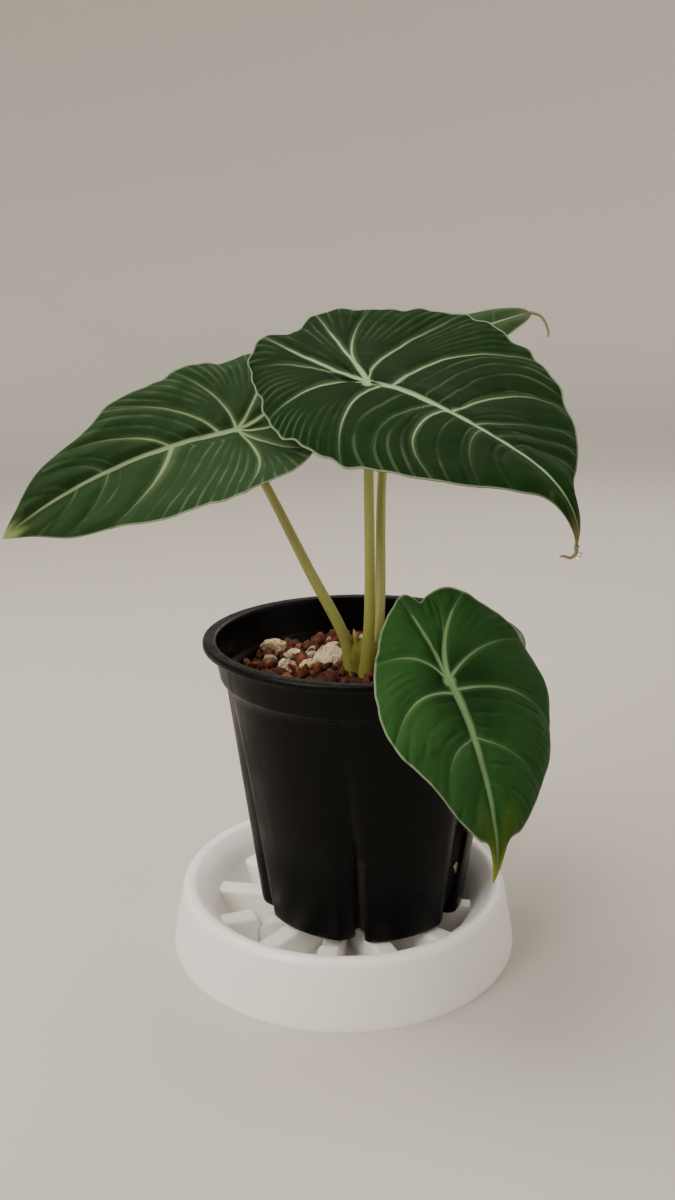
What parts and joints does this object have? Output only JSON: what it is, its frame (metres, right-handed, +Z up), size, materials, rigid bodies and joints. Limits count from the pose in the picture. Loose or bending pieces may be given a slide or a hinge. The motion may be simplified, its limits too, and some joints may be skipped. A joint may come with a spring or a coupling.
{
  "type": "potted velvet-leaved alocasia",
  "caption": "Small alocasia with dark velvety heart-shaped leaves and pale veins, in a black slit pot of lava and pumice gravel on a white ribbed saucer.",
  "frame": {"origin": "Centre of the saucer's flat underside, on the surface that the plant stands on.", "axes": "+Z up through the plant, the longest extent; +X to the right and +Y away from the viewer in the picture, so -Y is the front."},
  "size_m": [0.2009, 0.1631, 0.2394],
  "materials": {
    "saucer": "satin",
    "pot": "satin",
    "gravel": "rough",
    "pumice": "rough",
    "crown": "matte",
    "stalk": "satin",
    "blade": "velvety"
  },
  "bodies": {
    "root": {"saucer": "saucer", "pot": "pot", "gravel": "gravel", "pumice_1": "pumice", "pumice_2": "pumice", "pumice_3": "pumice", "pumice_4": "pumice", "pumice_5": "pumice", "pumice_6": "pumice", "pumice_7": "pumice", "pumice_8": "pumice", "pumice_9": "pumice", "pumice_10": "pumice", "crown": "crown", "stalk_left": "stalk", "blade_left": "blade", "stalk_centre": "stalk", "blade_centre": "blade", "stalk_front": "stalk", "blade_front": "blade", "stalk_back": "stalk", "blade_back": "blade"}
  },
  "joints": []
}
